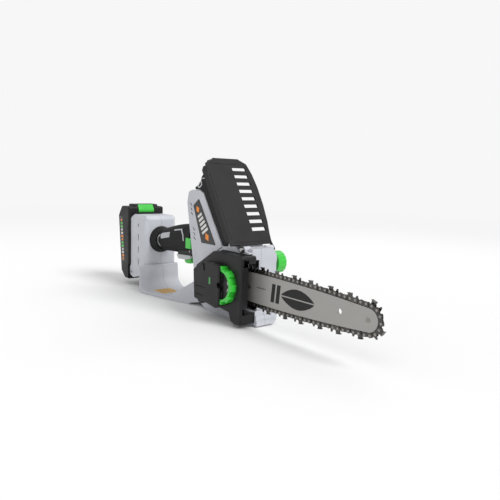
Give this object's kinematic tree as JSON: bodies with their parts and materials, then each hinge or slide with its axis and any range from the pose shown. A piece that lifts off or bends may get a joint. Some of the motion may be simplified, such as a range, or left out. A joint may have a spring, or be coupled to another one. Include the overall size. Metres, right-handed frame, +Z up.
{
  "type": "cordless chainsaw",
  "caption": "Battery chainsaw with a rear handle: guide bar with running chain links, tiltable slotted hand guard, wheel tensioner, sliding battery, oil cap and trigger.",
  "frame": {"origin": "on the rest plane straight below the drive sprocket, on the middle plane of the rear handle", "axes": "+X forward along the guide bar, +Y to the operator's left, +Z up"},
  "size_m": [0.7481, 0.136, 0.291],
  "materials": {
    "pale_shell": "fine-grained light grey moulded plastic",
    "black_shell": "fine-grained black moulded plastic",
    "black_rubber": "matt soft-touch rubber",
    "bright_green": "smooth bright green plastic",
    "grey_accent": "mid-grey inlay plastic",
    "plate_black": "dark printed plate",
    "bar_steel": "satin ground steel",
    "chain_steel": "dark oiled steel",
    "cutter_chrome": "hard-chromed cutter steel",
    "rivet_steel": "bright peened steel",
    "machine_steel": "turned machine steel",
    "cast_alloy": "die-cast aluminium",
    "copper": "wound copper and laminated steel",
    "tank_plastic": "milky moulded plastic",
    "circuit": "potted circuit module",
    "clear_window": "small tinted window",
    "cable_jacket": "insulated lead"
  },
  "bodies": {
    "saw_body": {"bar_studs": "machine_steel", "body_shell_left": "pale_shell", "body_shell_right": "pale_shell", "brake_band": "machine_steel", "brake_spring": "machine_steel", "front_bumper": "pale_shell", "front_handle": "black_rubber", "gear_plate": "cast_alloy", "handle_trim": "grey_accent", "lower_guard_left": "pale_shell", "lower_guard_right": "pale_shell", "motor_controller": "circuit", "motor_stator": "copper", "name_plate": "plate_black", "oil_pump": "cast_alloy", "oil_tank": "tank_plastic", "output_bearings": "machine_steel", "power_leads": "cable_jacket", "rear_grip": "black_rubber", "rear_handle_left": "black_shell", "rear_handle_right": "black_shell", "rear_housing_left": "pale_shell", "rear_housing_right": "pale_shell", "shell_screws": "machine_steel", "sprocket_cover": "black_shell", "tension_window": "clear_window", "terminal_block": "black_shell", "trigger_pin": "machine_steel", "trigger_switch": "black_shell"},
    "hand_guard": {"hand_guard": "black_shell", "guard_pins": "machine_steel"},
    "brake_lever": {"brake_lever": "machine_steel"},
    "tension_wheel": {"tension_wheel": "bright_green", "wheel_hub": "black_shell"},
    "guide_bar": {"guide_bar_right_plate": "bar_steel", "guide_bar_left_plate": "bar_steel", "guide_bar_core": "bar_steel", "nose_rivet": "rivet_steel", "tension_block": "machine_steel", "chain_drive_links": "chain_steel", "chain_tie_straps": "chain_steel", "chain_cutters_right": "cutter_chrome", "chain_cutters_left": "cutter_chrome", "chain_rivets": "rivet_steel"},
    "nose_sprocket": {"nose_sprocket": "machine_steel"},
    "output_shaft": {"output_shaft": "machine_steel", "drive_sprocket": "machine_steel", "sprocket_retainer": "machine_steel", "gear_wheel": "machine_steel", "brake_drum": "machine_steel"},
    "motor_rotor": {"motor_rotor": "machine_steel", "motor_pinion": "machine_steel", "cooling_fan": "black_shell"},
    "cap_seal": {"cap_gasket": "black_rubber"},
    "oil_cap": {"oil_cap": "bright_green"},
    "trigger": {"trigger": "bright_green"},
    "lock_off_button": {"lock_off_button": "bright_green"},
    "battery": {"battery_case": "black_shell", "battery_cells": "machine_steel"},
    "battery_release": {"battery_release": "bright_green"}
  },
  "joints": [
    {"name": "guard_tilt", "type": "hinge", "parent": "saw_body", "child": "hand_guard", "pos_m": [0.05, 0, 0.133], "axis": [0, 1, 0], "range_deg": [0, 15]},
    {"name": "brake_lever_turn", "type": "hinge", "parent": "saw_body", "child": "brake_lever", "pos_m": [0.02, -0.0105, 0.108], "axis": [0, 1, 0], "range_deg": [0, 7.5]},
    {"name": "tension_turn", "type": "hinge", "parent": "saw_body", "child": "tension_wheel", "pos_m": [0.03, -0.055, 0.07], "axis": [0, 1, 0], "range_deg": [0, 540]},
    {"name": "bar_tension", "type": "slide", "parent": "saw_body", "child": "guide_bar", "axis": [1, 0, 0], "range_m": [-0.003, 0]},
    {"name": "nose_spin", "type": "hinge", "parent": "guide_bar", "child": "nose_sprocket", "pos_m": [0.31769, -0.02, 0.07], "axis": [0, 1, 0], "continuous": true},
    {"name": "drive_spin", "type": "hinge", "parent": "saw_body", "child": "output_shaft", "pos_m": [0, 0, 0.07], "axis": [0, 1, 0], "continuous": true},
    {"name": "motor_spin", "type": "hinge", "parent": "saw_body", "child": "motor_rotor", "pos_m": [-0.018, 0.02, 0.11124], "axis": [0, 1, 0], "continuous": true},
    {"name": "cap_lift", "type": "slide", "parent": "saw_body", "child": "cap_seal", "axis": [0, 1, 0], "range_m": [0, 0.03]},
    {"name": "cap_turn", "type": "hinge", "parent": "cap_seal", "child": "oil_cap", "pos_m": [0.048, 0.05, 0.1055], "axis": [0, 1, 0], "range_deg": [0, 360]},
    {"name": "trigger_squeeze", "type": "hinge", "parent": "saw_body", "child": "trigger", "pos_m": [-0.146, 0, 0.103], "axis": [0, 1, 0], "range_deg": [0, 9], "stiffness_Nm_per_rad": 0.6, "springref_deg": -5.73},
    {"name": "lock_off_press", "type": "slide", "parent": "saw_body", "child": "lock_off_button", "axis": [0, 1, 0], "range_m": [0, 0.004], "stiffness_N_per_m": 300, "springref_m": -0.004},
    {"name": "battery_slide", "type": "slide", "parent": "saw_body", "child": "battery", "axis": [0, 0, 1], "range_m": [0, 0.12]},
    {"name": "release_press", "type": "slide", "parent": "battery", "child": "battery_release", "axis": [-1, 0, 0], "range_m": [0, 0.003], "stiffness_N_per_m": 300, "springref_m": -0.004}
  ],
  "couplings": [
    {"joint": "brake_lever_turn", "follows": "guard_tilt", "ratio": 0.5},
    {"joint": "tension_turn", "follows": "bar_tension", "rad_per_m": -3141.6},
    {"joint": "motor_spin", "follows": "drive_spin", "ratio": -4},
    {"joint": "nose_spin", "follows": "drive_spin", "ratio": 0.85714}
  ]
}
